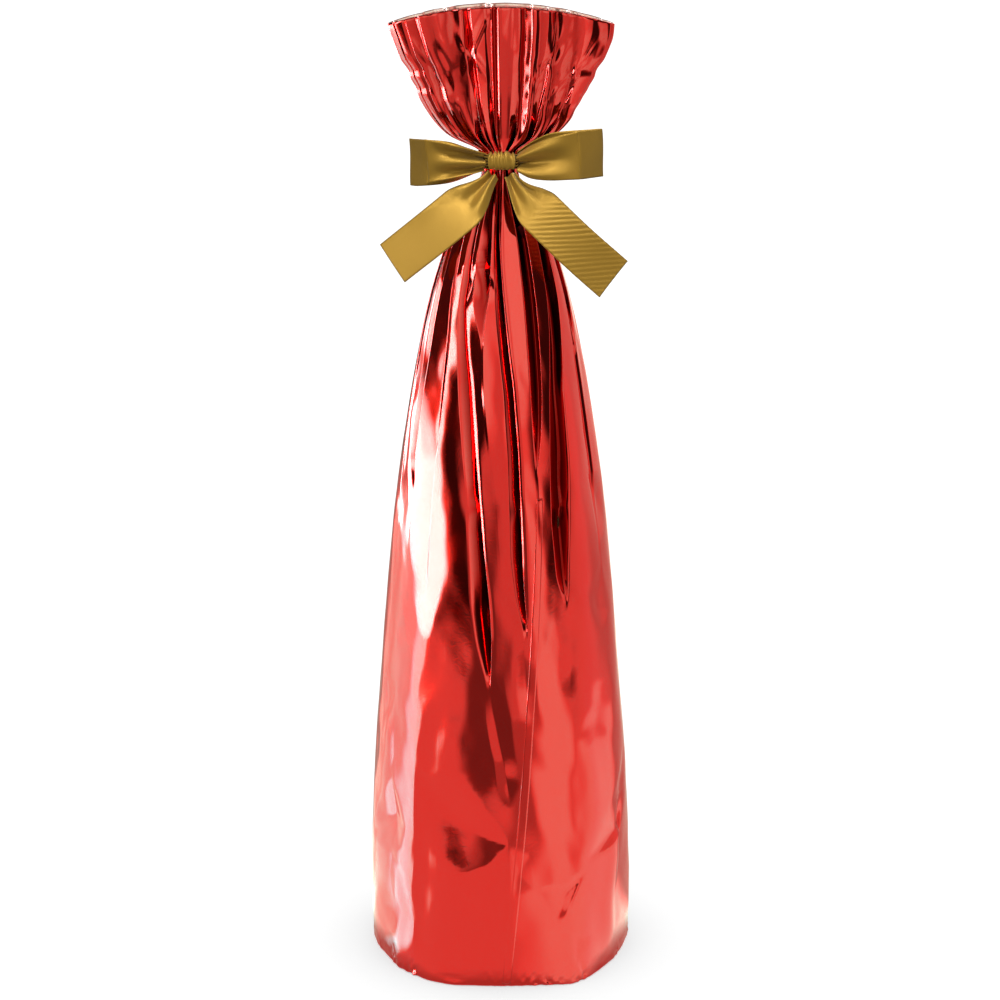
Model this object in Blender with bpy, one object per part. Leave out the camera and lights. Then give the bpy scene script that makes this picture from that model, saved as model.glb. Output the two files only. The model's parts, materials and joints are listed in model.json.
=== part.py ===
"""Wine gift bag: a round-bottomed metallic film bag over a 750 ml bottle, gathered at the neck,
fanned out above it and tied with a satin ribbon bow.

Row frame: metres, +Z up, the origin at the centre of the base on the floor, the bow at -Y.
"""

import math

import bmesh
import bpy
from mathutils import Vector

MM = 0.001
GAP = 0.3 * MM  # clearance between pieces that touch on the real object
TURNS = 44  # facets round a turned piece

# Bag film. The walls are thicker than the real 0.04 mm film, so that they are solids.
FILM = 0.8 * MM
BASE_RADIUS = 49.3 * MM
BASE_THICKNESS = 0.9 * MM
SEAM_OUTER = 51.8 * MM
SEAM_HEIGHT = 4.0 * MM
# (height, outer radius) of the bag from the base seam up to the gathered neck
BODY_STATIONS = (
    (4.3, 51.4), (15, 52.5), (50, 52.2), (90, 50.4), (125, 47.2), (160, 44.0), (200, 39.8),
    (235, 34.4), (265, 28.6), (285, 22.8), (299, 17.6), (307, 12.6), (313, 8.6), (317, 7.5),
)
LAP_SEAM = {"width": 3 * MM, "thickness": 0.4 * MM, "bottom": 6 * MM, "top": 205 * MM}
LAP_SEAM_FOOT = 2.8  # degrees from the front, at the floor
LAP_SEAM_TWIST = 0.1  # degrees per millimetre of height, because the bag stands a little twisted

# Gathered neck inside the tie
NECK_RADIUS = 7.5 * MM
NECK_BOTTOM = 317.3 * MM
NECK_TOP = 326.2 * MM
NECK_PLEATS = 12
NECK_PLEAT_DEPTH = 0.9 * MM

# Fan above the tie: (height, half width, half depth), pivoting on the neck
FAN_PIVOT_Z = 327.0 * MM
FAN_STATIONS = (
    (327.4, 9.0, 3.0), (330, 17.5, 5.0), (336, 24.5, 6.2), (346, 31.0, 7.0), (360, 37.6, 7.6),
    (374, 43.0, 8.0),
)
FAN_ARCH = 7.0 * MM  # how much higher the rim stands at the middle than at its corners
FAN_LEAN_X = 2.2 * MM  # the right corner reaches further out than the left one
FAN_FLOOR_Z = 338 * MM  # the gathered pleats fill the fan below this height

# Ribbon: 18 mm satin, thicker here than the real 0.3 mm
RIBBON_WIDTH = 18 * MM
RIBBON = 0.8 * MM
BAND_INNER = 8.0 * MM
BAND_OUTER = 9.2 * MM
BAND_BOTTOM = 319.6 * MM
BAND_TOP = 325.4 * MM
KNOT_CENTRE = Vector((0.6, -12.4, 323.6)) * MM
KNOT_SIZE = Vector((11.2, 5.6, 7.2)) * MM
LOOP_ROOT_X = 6.5 * MM  # from the knot's centre: each loop flexes about a vertical axis beside the knot
PINCHED = 0.36  # share of the ribbon's width that shows where the knot pinches it
TAIL_PINCHED = 0.27  # the same, under the knot
LOOPS = {
    # name: side, reach, end's slant, how far out it opens fully, rise of the back layer, of the front
    "bow_loop_left": (-1, 34.6, 6.6, 24, -0.9, 1.3),
    "bow_loop_right": (1, 38.2, 9.0, 14, 2.8, 3.4),
}
TAILS = {
    # name: the tail's centre line, and the direction of its half width at the free end
    "ribbon_tail_left": (
        ((-2.6, -12.6, 318.2), (-5.6, -15.0, 315.0), (-10.3, -18.0, 310.6), (-17, -20.0, 305.0),
         (-28.5, -20.4, 295.6), (-41, -18.6, 285.4)),
        (-0.60, 0.42, 0.68),
    ),
    "ribbon_tail_right": (
        ((3.8, -12.6, 318.2), (6.6, -14.6, 313.9), (11.0, -17.6, 309.4), (17.2, -20.0, 303.6),
         (29, -20.8, 292.4), (43.2, -19.2, 279.4)),
        (0.70, 0.40, 0.59),
    ),
}

# Bottle: a 750 ml straight-sided wine bottle
BOTTLE_FOOT = BASE_THICKNESS + GAP
BOTTLE_RADIUS = 37.5 * MM
BOTTLE_HEIGHT = 296.5 * MM
GLASS = 2.6 * MM
SHOULDER_Z = 191 * MM
NECK_START_Z = 230 * MM
MOUTH_OUTER = 13.9 * MM
BORE = 9.4 * MM
PUNT_HEIGHT = 16 * MM
PUNT_FOOT = 29 * MM  # the punt's radius where it meets the foot, and part of the way up
PUNT_WAIST = 14 * MM
CORK_LENGTH = 44 * MM
WINE_TOP = 238 * MM
CAPSULE_LENGTH = 56 * MM
CAPSULE_WALL = 0.5 * MM

FOIL_RED = (0.72, 0.03, 0.03)
SATIN_GOLD = (0.52, 0.33, 0.09)


def clear_scene():
    for old in list(bpy.data.objects):
        bpy.data.objects.remove(old)


def material(name, colour, roughness, metallic):
    made = bpy.data.materials.new(name)
    made.use_nodes = True
    shader = made.node_tree.nodes["Principled BSDF"]
    shader.inputs["Base Color"].default_value = (*colour, 1)
    shader.inputs["Roughness"].default_value = roughness
    shader.inputs["Metallic"].default_value = metallic
    return made


def add_object(name, bm, finish, origin=(0, 0, 0), parent=None, smooth=True):
    """Links bm, drawn in the row frame, as an object whose own origin is at origin."""
    origin = Vector(origin)
    bmesh.ops.recalc_face_normals(bm, faces=bm.faces[:])
    bmesh.ops.translate(bm, verts=bm.verts[:], vec=-origin)
    mesh = bpy.data.meshes.new(name)
    bm.to_mesh(mesh)
    bm.free()
    if smooth:
        mesh.shade_smooth()
        mesh.set_sharp_from_angle(angle=math.radians(35))
    mesh.materials.append(finish)
    made = bpy.data.objects.new(name, mesh)
    bpy.context.scene.collection.objects.link(made)
    made.parent = parent
    made.location = origin - (parent.location if parent else Vector())
    return made


def smooth_stations(stations, count):
    """Points on a Catmull-Rom curve through the stations, evenly spread over them."""
    points = [Vector([x * MM for x in s]) for s in stations]
    points = [2 * points[0] - points[1], *points, 2 * points[-1] - points[-2]]
    spans = len(points) - 3
    found = []
    for i in range(count):
        at = spans * i / (count - 1)
        k = min(int(at), spans - 1)
        t = at - k
        a, b, c, d = points[k : k + 4]
        found.append(
            0.5 * (2 * b + (c - a) * t + (2 * a - 5 * b + 4 * c - d) * t * t + (3 * b - a - 3 * c + d) * t**3)
        )
    return found


def turned(profile):
    """A bmesh turned about Z from a closed profile of (radius, height); one that starts and ends at
    radius 0 closes on the axis."""
    bm = bmesh.new()
    ring = [bm.verts.new((r, 0, z)) for r, z in profile]
    edges = [bm.edges.new(pair) for pair in zip(ring, ring[1:])]
    if profile[0][0] > 0:
        edges.append(bm.edges.new((ring[-1], ring[0])))
    bmesh.ops.spin(
        bm, geom=ring + edges, cent=(0, 0, 0), axis=(0, 0, 1), angle=math.tau, steps=TURNS, use_merge=True
    )
    bmesh.ops.remove_doubles(bm, verts=bm.verts[:], dist=0.01 * MM)
    return bm


def rounded_profile(outer, wall):
    """A closed wall profile: the outer points, then the same points set in by the wall, back down."""
    inner = [(max(r - wall, 0.2 * MM), z) for r, z in reversed(outer)]
    return outer + inner


def strip(stations, thickness):
    """A bmesh of a flat strip. Each station is (centre, half width as a vector); the strip's face is
    square to its path and to that vector."""
    bm = bmesh.new()
    rows = []
    for i, (centre, half) in enumerate(stations):
        before = stations[max(i - 1, 0)][0]
        after = stations[min(i + 1, len(stations) - 1)][0]
        normal = (after - before).cross(half).normalized() * thickness / 2
        left, right = centre - half, centre + half
        corners = (right + normal, right - normal, left - normal, left + normal)
        rows.append([bm.verts.new(c) for c in corners])
    for low, high in zip(rows, rows[1:]):
        for k in range(4):
            bm.faces.new((low[k], low[(k + 1) % 4], high[(k + 1) % 4], high[k]))
    bm.faces.new(rows[0])
    bm.faces.new(rows[-1][::-1])
    return bm


def lens_ring(bm, z, half_width, half_depth, arch, count=TURNS):
    """A closed ring of points, wide along X and thin along Y, whose middle is arched up."""
    lean = FAN_LEAN_X * half_width / (FAN_STATIONS[-1][1] * MM)
    ring = []
    for i in range(count):
        angle = math.tau * i / count
        across = math.cos(angle)
        x = half_width * across + lean * max(across, 0)
        y = half_depth * math.sin(angle)
        ring.append(bm.verts.new((x, y, z + arch * (1 - across * across))))
    return ring


def bridge(bm, low, high):
    count = len(low)
    for i in range(count):
        j = (i + 1) % count
        bm.faces.new((low[i], low[j], high[j], high[i]))


# ---- the film bag ----


def build_base(film):
    profile = [(0, 0), (BASE_RADIUS, 0), (BASE_RADIUS, BASE_THICKNESS), (0, BASE_THICKNESS)]
    add_object("base_disc", turned(profile), film)


def build_base_seam(film):
    inner = BASE_RADIUS + GAP
    bevel = 0.6 * MM
    profile = [
        (inner, 0), (SEAM_OUTER - bevel, 0), (SEAM_OUTER, bevel),
        (SEAM_OUTER, SEAM_HEIGHT - bevel), (SEAM_OUTER - bevel, SEAM_HEIGHT), (inner, SEAM_HEIGHT),
    ]
    add_object("base_seam", turned(profile), film)


def build_body(film):
    outer = [(p.y, p.x) for p in smooth_stations(BODY_STATIONS, 34)]
    add_object("bag_body", turned(rounded_profile(outer, FILM)), film)


def build_lap_seam(film):
    """The overlap of the film tube: a narrow strip up the front of the bag."""
    curve = [p for p in smooth_stations(BODY_STATIONS, 60) if LAP_SEAM["bottom"] < p.x < LAP_SEAM["top"]]
    stand_off = GAP + LAP_SEAM["thickness"] / 2
    stations = []
    for height, radius in curve:
        angle = math.radians(LAP_SEAM_FOOT + LAP_SEAM_TWIST * height / MM)
        outward = Vector((math.sin(angle), -math.cos(angle), 0))
        across = Vector((math.cos(angle), math.sin(angle), 0))
        centre = outward * (radius + stand_off) + Vector((0, 0, height))
        stations.append((centre, across * LAP_SEAM["width"] / 2))
    add_object("lap_seam", strip(stations, LAP_SEAM["thickness"]), film)


def build_neck(film):
    """The gathered film inside the tie: a fluted plug."""
    bm = bmesh.new()
    rings = []
    count = 4 * NECK_PLEATS
    for z in (NECK_BOTTOM, (NECK_BOTTOM + NECK_TOP) / 2, NECK_TOP):
        ring = []
        for i in range(count):
            angle = math.tau * i / count
            radius = NECK_RADIUS - NECK_PLEAT_DEPTH * (0.5 - 0.5 * math.cos(NECK_PLEATS * angle))
            ring.append(bm.verts.new((radius * math.cos(angle), radius * math.sin(angle), z)))
        rings.append(ring)
    for low, high in zip(rings, rings[1:]):
        bridge(bm, low, high)
    bm.faces.new(rings[0][::-1])
    bm.faces.new(rings[-1])
    add_object("gathered_neck", bm, film, smooth=False)


def build_fan(film):
    """The mouth of the bag, pressed flat above the tie and open along its rim."""
    bm = bmesh.new()
    rows = smooth_stations(FAN_STATIONS, 14)
    top = FAN_STATIONS[-1][0] * MM
    foot = FAN_STATIONS[0][0] * MM

    def arch(z):
        return FAN_ARCH * ((z - foot) / (top - foot)) ** 2

    outer = [lens_ring(bm, p.x, p.y, p.z, arch(p.x)) for p in rows]
    inside = [p for p in rows if p.x > FAN_FLOOR_Z]
    inner = [lens_ring(bm, p.x, p.y - 2 * FILM, p.z - FILM, arch(p.x)) for p in inside]
    for rings in (outer, inner):
        for low, high in zip(rings, rings[1:]):
            bridge(bm, low, high)
    bridge(bm, outer[-1], inner[-1])
    bm.faces.new(outer[0][::-1])
    bm.faces.new(inner[0])
    add_object("mouth_fan", bm, film, origin=(0, 0, FAN_PIVOT_Z))


# ---- the ribbon ----


def build_band(satin):
    profile = [
        (BAND_INNER, BAND_BOTTOM), (BAND_OUTER, BAND_BOTTOM + 0.5 * MM),
        (BAND_OUTER, BAND_TOP - 0.5 * MM), (BAND_INNER, BAND_TOP),
    ]
    return add_object("ribbon_band", turned(profile), satin)


def build_knot(satin, band):
    bm = bmesh.new()
    bmesh.ops.create_cube(bm, size=1)
    bmesh.ops.scale(bm, verts=bm.verts[:], vec=KNOT_SIZE)
    bmesh.ops.bevel(bm, geom=bm.edges[:], offset=1.6 * MM, segments=3, affect="EDGES", profile=0.5)
    bmesh.ops.translate(bm, verts=bm.verts[:], vec=KNOT_CENTRE)
    return add_object("bow_knot", bm, satin, origin=KNOT_CENTRE, parent=band)


def loop_stations(side, reach, slant, opening, back_rise, front_rise):
    """A bow loop as seen from above: out along its back layer, across its flat end and home along its
    front layer. side is -1 for the left loop and 1 for the right; lengths are in millimetres, counted
    from the knot's centre."""
    root = LOOP_ROOT_X / MM
    plan = (
        (root, 0.9), (12, 1.7), (20, 2.6), (reach - 4, 3.0), (reach - 1, 2.6), (reach, 1.2),
        (reach - 3.2, -3.0), (reach - slant + 1.6, -6.4), (reach - slant, -7.3),
        (reach - slant - 3, -7.3), (16, -5.2), (10, -2.8), (root, -0.9),
    )
    curve = smooth_stations(plan, 30)
    stations = []
    for i, point in enumerate(curve):
        out = min(1.0, (point.x - LOOP_ROOT_X) / (opening * MM))
        open_share = PINCHED + (1 - PINCHED) * math.sin(out * math.pi / 2)
        front = i / (len(curve) - 1)
        rise = (back_rise * (1 - front) + front_rise * front) * MM * (point.x / (reach * MM)) ** 1.5
        centre = KNOT_CENTRE + Vector((side * point.x, point.y, rise))
        stations.append((centre, Vector((0, 0, RIBBON_WIDTH / 2 * open_share))))
    return stations


def build_loops(satin, knot):
    for name, (side, *shape) in LOOPS.items():
        root = KNOT_CENTRE + Vector((side * LOOP_ROOT_X, 0, 0))
        add_object(name, strip(loop_stations(side, *shape), RIBBON), satin, origin=root, parent=knot)


def tail_stations(points, out):
    """A tail that opens from the pinch under the knot to the ribbon's whole width."""
    curve = smooth_stations(points, 18)
    pinch_axis = Vector((math.copysign(1, out.x), 0, 0))
    stations = []
    for i, point in enumerate(curve):
        share = min(1.0, i / 8)
        ease = share * share * (3 - 2 * share)
        before = curve[max(i - 1, 0)]
        after = curve[min(i + 1, len(curve) - 1)]
        along = (after - before).normalized()
        across = pinch_axis.lerp(out, ease)
        across = (across - along * across.dot(along)).normalized()
        width = RIBBON_WIDTH * (TAIL_PINCHED + (1 - TAIL_PINCHED) * ease)
        stations.append((point, across * width / 2))
    return stations


def build_tails(satin, knot):
    for name, (points, out) in TAILS.items():
        root = Vector(points[0]) * MM
        stations = tail_stations(points, Vector(out))
        add_object(name, strip(stations, RIBBON), satin, origin=root, parent=knot)


# ---- what the bag holds ----


def bottle_outline():
    """(radius, height) up the outside of the glass, from the foot to the mouth."""
    foot = BOTTLE_FOOT
    points = [(BOTTLE_RADIUS - 4 * MM, foot), (BOTTLE_RADIUS - 1 * MM, foot + 1.2 * MM)]
    points.append((BOTTLE_RADIUS, foot + 5 * MM))
    neck = MOUTH_OUTER - 0.4 * MM
    for i in range(10):
        share = i / 9
        ease = 0.5 - 0.5 * math.cos(math.pi * share)
        z = SHOULDER_Z + (NECK_START_Z - SHOULDER_Z) * share
        points.append((BOTTLE_RADIUS + (neck - BOTTLE_RADIUS) * ease, z))
    top = foot + BOTTLE_HEIGHT
    points += [(neck - 0.6 * MM, top - 12 * MM), (MOUTH_OUTER, top - 10 * MM), (MOUTH_OUTER, top - 1 * MM)]
    points.append((MOUTH_OUTER - 1 * MM, top))
    return points


def bottle_cavity():
    """(radius, height) down the inside of the glass, from the mouth to the top of the punt."""
    top = BOTTLE_FOOT + BOTTLE_HEIGHT
    points = [(BORE, top)]
    shoulder = BOTTLE_RADIUS - GLASS
    for i in range(10):
        share = 1 - i / 9
        ease = 0.5 - 0.5 * math.cos(math.pi * share)
        z = SHOULDER_Z + (NECK_START_Z - SHOULDER_Z) * share
        points.append((shoulder + (BORE - shoulder) * ease, z))
    floor_z = BOTTLE_FOOT + 5 * MM
    points += [(shoulder, floor_z + 4 * MM), (shoulder - 4 * MM, floor_z)]
    points += [(PUNT_WAIST, floor_z + PUNT_HEIGHT * 0.6), (0, floor_z + PUNT_HEIGHT)]
    return points


def build_bottle(glass):
    punt = [(0, BOTTLE_FOOT + PUNT_HEIGHT), (PUNT_WAIST, BOTTLE_FOOT + PUNT_HEIGHT * 0.6)]
    punt.append((PUNT_FOOT, BOTTLE_FOOT))
    profile = punt + bottle_outline() + bottle_cavity()
    add_object("bottle_glass", turned(profile), glass)


def build_wine(wine):
    cavity = []
    for r, z in reversed(bottle_cavity()):
        if z < WINE_TOP:
            clear = GAP if z < SHOULDER_Z else -GAP
            cavity.append((max(r - GAP, 0), z + clear))
    profile = cavity + [(BORE - GAP, WINE_TOP), (0, WINE_TOP)]
    add_object("wine_fill", turned(profile), wine)


def build_cork(cork):
    top = BOTTLE_FOOT + BOTTLE_HEIGHT - GAP
    radius = BORE - GAP
    profile = [(0, top - CORK_LENGTH), (radius, top - CORK_LENGTH), (radius, top), (0, top)]
    add_object("cork", turned(profile), cork)


def build_capsule(foil):
    """The foil sleeve over the bottle's mouth and neck."""
    top = BOTTLE_FOOT + BOTTLE_HEIGHT + GAP
    inner = MOUTH_OUTER + GAP
    bottom = top - CAPSULE_LENGTH
    profile = [
        (0, top), (inner, top), (inner, bottom), (inner + CAPSULE_WALL, bottom),
        (inner + CAPSULE_WALL, top + CAPSULE_WALL), (0, top + CAPSULE_WALL),
    ]
    add_object("capsule", turned(profile), foil)


def main():
    clear_scene()
    film = material("red_metallic_film", FOIL_RED, 0.16, 1.0)
    satin = material("gold_satin", SATIN_GOLD, 0.38, 0.0)
    glass = material("green_glass", (0.02, 0.07, 0.03), 0.05, 0.0)
    wine = material("red_wine", (0.12, 0.0, 0.01), 0.2, 0.0)
    cork = material("cork_oak", (0.52, 0.34, 0.19), 0.8, 0.0)
    foil = material("capsule_foil", (0.16, 0.01, 0.02), 0.35, 1.0)
    build_base(film)
    build_base_seam(film)
    build_body(film)
    build_lap_seam(film)
    build_neck(film)
    build_fan(film)
    band = build_band(satin)
    knot = build_knot(satin, band)
    build_loops(satin, knot)
    build_tails(satin, knot)
    build_bottle(glass)
    build_wine(wine)
    build_cork(cork)
    build_capsule(foil)


main()
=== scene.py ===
"""Looks of the wine gift bag: metallised red film, pleated into a ribbon tie, and a gold satin bow.

The camera, the lights and the studio are placed in metres. The film and the ribbon are worked out in
millimetres, and their meshes are made in metres. Angles round the bag are in degrees from the front
(-Y), positive towards +X.
"""

import json
import math

import bpy
import numpy as np
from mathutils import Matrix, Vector
from mathutils.bvhtree import BVHTree


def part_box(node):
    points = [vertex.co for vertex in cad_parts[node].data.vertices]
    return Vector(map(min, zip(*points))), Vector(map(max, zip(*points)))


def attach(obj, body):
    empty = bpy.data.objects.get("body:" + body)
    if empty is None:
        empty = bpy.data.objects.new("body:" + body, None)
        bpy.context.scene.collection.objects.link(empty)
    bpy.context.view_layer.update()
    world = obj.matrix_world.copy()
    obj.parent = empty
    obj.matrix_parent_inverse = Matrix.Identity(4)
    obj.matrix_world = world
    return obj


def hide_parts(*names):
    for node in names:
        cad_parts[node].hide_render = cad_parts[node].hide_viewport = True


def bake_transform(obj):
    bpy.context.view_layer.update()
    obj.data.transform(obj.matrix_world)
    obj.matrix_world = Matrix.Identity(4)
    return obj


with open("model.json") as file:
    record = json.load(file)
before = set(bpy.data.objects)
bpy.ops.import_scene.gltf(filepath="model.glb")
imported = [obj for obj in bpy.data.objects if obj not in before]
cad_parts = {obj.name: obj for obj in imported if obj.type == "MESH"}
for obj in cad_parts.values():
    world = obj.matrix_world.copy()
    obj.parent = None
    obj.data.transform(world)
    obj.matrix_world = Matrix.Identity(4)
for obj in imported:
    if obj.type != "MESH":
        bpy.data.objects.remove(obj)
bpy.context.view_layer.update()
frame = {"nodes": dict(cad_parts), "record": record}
MM = 0.001

# ---- camera and studio ----

CAMERA_PLACE = (0.0, -1.1, 0.5)
CAMERA_DOWN = 15.91  # degrees below level
CAMERA_LENS = 103.9  # millimetres, on a sensor 36 wide


def add_camera():
    data = bpy.data.cameras.new("camera")
    data.lens = CAMERA_LENS
    data.sensor_width = 36
    data.clip_end = 50
    camera = bpy.data.objects.new("camera", data)
    camera.location = CAMERA_PLACE
    camera.rotation_euler = (math.radians(90 - CAMERA_DOWN), 0, 0)
    bpy.context.scene.collection.objects.link(camera)
    bpy.context.scene.camera = camera


class Nodes:
    """A short way to write node trees: each call adds a node and links what it is given."""

    def __init__(self, tree):
        self.tree = tree
        tree.nodes.clear()

    def add(self, kind, inputs=None, **settings):
        node = self.tree.nodes.new(kind)
        for name, value in settings.items():
            setattr(node, name, value)
        for key, value in (inputs or {}).items():
            socket = node.inputs[key]
            if isinstance(value, bpy.types.NodeSocket):
                self.tree.links.new(value, socket)
            else:
                socket.default_value = value
        return node

    def math(self, operation, *values):
        return self.add("ShaderNodeMath", dict(enumerate(values)), operation=operation).outputs[0]

    def smooth(self, value, low, high, to_low=0.0, to_high=1.0):
        """A smooth step from to_low to to_high as value goes from low to high."""
        given = {"Value": value, "From Min": low, "From Max": high, "To Min": to_low, "To Max": to_high}
        return self.add("ShaderNodeMapRange", given, interpolation_type="SMOOTHSTEP").outputs[0]


def smoothstep(value, low, high):
    t = np.clip((value - low) / (high - low), 0, 1)
    return t * t * (3 - 2 * t)


def ring_faces(rows, turns):
    """The faces of a grid that closes on itself along each row."""
    faces = []
    for i in range(rows - 1):
        for j in range(turns):
            k = (j + 1) % turns
            faces.append((i * turns + j, i * turns + k, (i + 1) * turns + k, (i + 1) * turns + j))
    return faces


def new_object(name, points, faces, finishes):
    data = bpy.data.meshes.new(name)
    data.from_pydata([tuple(p) for p in points], [], faces)
    data.update()
    for finish in finishes:
        data.materials.append(finish)
    data.polygons.foreach_set("use_smooth", [True] * len(data.polygons))
    made = bpy.data.objects.new(name, data)
    bpy.context.scene.collection.objects.link(made)
    return made


WORLD_GLOW = 0.2
FLOOR_GLOW = 0.42  # the floor is a lit table, so that it stays white


def build_floor():
    half = 12.0
    finish = bpy.data.materials.new("floor_paper")
    finish.use_nodes = True
    n = Nodes(finish.node_tree)
    given = {
        "Base Color": (0.86, 0.86, 0.86, 1), "Roughness": 0.9,
        "Emission Color": (1, 1, 1, 1), "Emission Strength": FLOOR_GLOW,
    }
    shader = n.add("ShaderNodeBsdfPrincipled", given)
    n.add("ShaderNodeOutputMaterial", {"Surface": shader.outputs[0]})
    corners = [(-half, -half, 0), (half, -half, 0), (half, half, 0), (-half, half, 0)]
    floor = new_object("floor", corners, [(0, 1, 2, 3)], [finish])
    return floor


# What the film mirrors: a screen round the object, flat on the floor and then upright, as bounce
# cards and soft boxes would stand. Each panel has an azimuth from the camera's side and a half width
# (degrees, positive to the right), a lowest and highest place (metres: below 0 on the floor, out to the
# screen's foot at 0, above 0 up the screen), soft edges (degrees, metres) and a radiance.
SCREEN_FOOT = 0.85  # its radius where it stands up
SCREEN_HOLE = 0.045  # and where it starts, under the object
SCREEN_TOP = 1.7
SCREEN_CLEAR = 0.0006  # how far its lower part lies over the floor
SCREEN_TURNS = 240
SCREEN_FLOOR_GLOW = 0.88
SCREEN_WALL_GLOW = 0.78
SCREEN_PANELS = (
    # on the floor
    (-132, 18, -0.90, 0.03, 6, 0.03, 1.6),
    (-106, 18, -0.90, 0.0, 6, 0.03, 3.2),
    (-79, 17, -0.90, 0.0, 4, 0.03, 8.5),
    (-94, 17, -0.90, -0.755, 5, 0.01, 1.9),
    (-164, 17, -0.90, 0.04, 6, 0.03, 0.4),
    (46, 12, -0.85, 0.05, 6, 0.04, 2.4),
    (92, 22, -0.85, -0.36, 7, 0.04, 2.1),
    (66, 50, -0.90, -0.66, 10, 0.05, 2.3),
    (145, 35, -0.90, 0.02, 8, 0.04, 0.6),
    (20, 13, -0.64, -0.1, 5, 0.06, 0.5),
    (-11, 18, -0.49, 0.0, 6, 0.05, 0.2),
    # painted shadow: a dimmer ring close round the base, the bag's shadow on the mirrored floor
    (0, 180, -0.90, -0.7905, 1, 0.002, 0.5),
    # upright
    (-14, 13, 0.30, 1.5, 7, 0.03, 2.5),
    (30, 12, 0.28, 1.5, 6, 0.04, 2.5),
    (34, 9, 0.0, 0.2, 4, 0.05, 2.2),
    (-16, 20, -0.02, 0.14, 6, 0.04, 0.22),
    (-42, 10, 0.02, 1.5, 4, 0.03, 0.03),
    (60, 15, 0.02, 1.3, 7, 0.05, 0.04),
    (98, 12, 0.0, 1.3, 6, 0.05, 0.9),
    (-101, 45, 0.0, 0.22, 2, 0.03, 22.0),
    (-129, 5, 0.0, 0.22, 3, 0.03, 0.6),
    (-94, 24, 0.25, 1.6, 4, 0.03, 0.05),
    (-61, 6, 0.16, 1.6, 2, 0.05, 18.0),
    (-124, 5, 0.2, 1.6, 3, 0.05, 20.0),
    (-138, 5, 0.24, 1.6, 3, 0.05, 0.3),
    (-151, 6, 0.2, 1.6, 3, 0.05, 20.0),
    (172, 9, -0.85, 1.5, 5, 0.05, 1.2),
    (-168, 9, 0.0, 1.5, 5, 0.05, 0.15),
)


def screen_glow(place, azimuth):
    """The radiance at each place up the screen (a column) and azimuth round it (a row)."""
    glow = np.where(place < 0, SCREEN_FLOOR_GLOW, SCREEN_WALL_GLOW) * np.ones(azimuth.shape)
    for centre, half, low, high, soft, soft_up, radiance in SCREEN_PANELS:
        turn = np.abs((azimuth - centre + 180) % 360 - 180)
        cover = 1 - smoothstep(turn, half - soft, half + soft)
        cover = cover * smoothstep(place, low - soft_up, low + soft_up)
        cover = cover * (1 - smoothstep(place, high - soft_up, high + soft_up))
        glow = glow + cover * (radiance - glow)
    return glow


def screen_colour(glow):
    """Radiance as red, green and blue. The brighter cards mirror as pale red, the brightest as white."""
    warm = np.where(glow > 1, 1 + 0.3 * (1 - np.exp(-(glow - 1) / 8)), glow)
    warm = warm + smoothstep(glow, 12, 24) * (glow - warm)
    blue = glow * (0.82 + 0.18 * smoothstep(glow, 2.5, 5))
    return np.stack([warm * 1.2, glow, blue], 2)


def screen_material():
    finish = bpy.data.materials.new("screen_glow")
    finish.use_nodes = True
    n = Nodes(finish.node_tree)
    colour = n.add("ShaderNodeAttribute", attribute_name="glow").outputs["Vector"]
    bounced = n.add("ShaderNodeLightPath").outputs["Diffuse Depth"]
    strength = n.math("LESS_THAN", bounced, 0.5)  # so that the film throws no glare on the floor
    light = n.add("ShaderNodeEmission", {"Color": colour, "Strength": strength})
    n.add("ShaderNodeOutputMaterial", {"Surface": light.outputs[0]})
    return finish


def build_screen():
    """The mirrored surroundings. Only glossy rays see them, so they don't light the floor."""
    along_floor = SCREEN_HOLE + (SCREEN_FOOT - SCREEN_HOLE) * np.linspace(0, 1, 40) ** 1.5
    up_wall = SCREEN_TOP * np.linspace(0.01, 1, 50)
    rows = [(r, SCREEN_CLEAR) for r in along_floor] + [(SCREEN_FOOT, z) for z in up_wall]
    place = np.append(along_floor - SCREEN_FOOT, up_wall)[:, None]
    azimuth = np.arange(SCREEN_TURNS) * 360 / SCREEN_TURNS
    glow = screen_glow(place, azimuth)
    points = []
    for r, z in rows:
        for a in np.radians(azimuth):
            points.append((r * math.sin(a), -r * math.cos(a), z))
    screen = new_object("studio_screen", points, ring_faces(len(rows), SCREEN_TURNS), [screen_material()])
    values = screen.data.attributes.new("glow", "FLOAT_VECTOR", "POINT").data
    values.foreach_set("vector", screen_colour(glow).astype(np.float32).ravel())
    screen.visible_camera = False
    screen.visible_diffuse = False
    screen.visible_shadow = False
    screen.visible_transmission = False
    return screen


def light_only(source, name, pieces):
    """Only these pieces are lit by this light or glowing screen."""
    lit = bpy.data.collections.new(name)
    for piece in pieces:
        lit.objects.link(piece)
    source.light_linking.receiver_collection = lit


def build_world():
    world = bpy.data.worlds.new("studio")
    world.use_nodes = True
    bpy.context.scene.world = world
    n = Nodes(world.node_tree)
    seen = n.add("ShaderNodeLightPath").outputs["Is Camera Ray"]
    strength = n.smooth(seen, 0.0, 1.0, WORLD_GLOW, 0.96)  # a white wall behind, dimmer as a light
    glow = n.add("ShaderNodeBackground", {"Color": (1, 1, 1, 1), "Strength": strength})
    n.add("ShaderNodeOutputWorld", {"Surface": glow.outputs[0]})


def build_overhead(floor):
    """A broad light from above for the floor, which gives the soft shadow round the base."""
    data = bpy.data.lights.new("overhead", "SUN")
    data.energy = 2.15
    data.angle = math.radians(100)
    light = bpy.data.objects.new("overhead", data)
    bpy.context.scene.collection.objects.link(light)
    light_only(light, "overhead_receivers", [floor])


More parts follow.
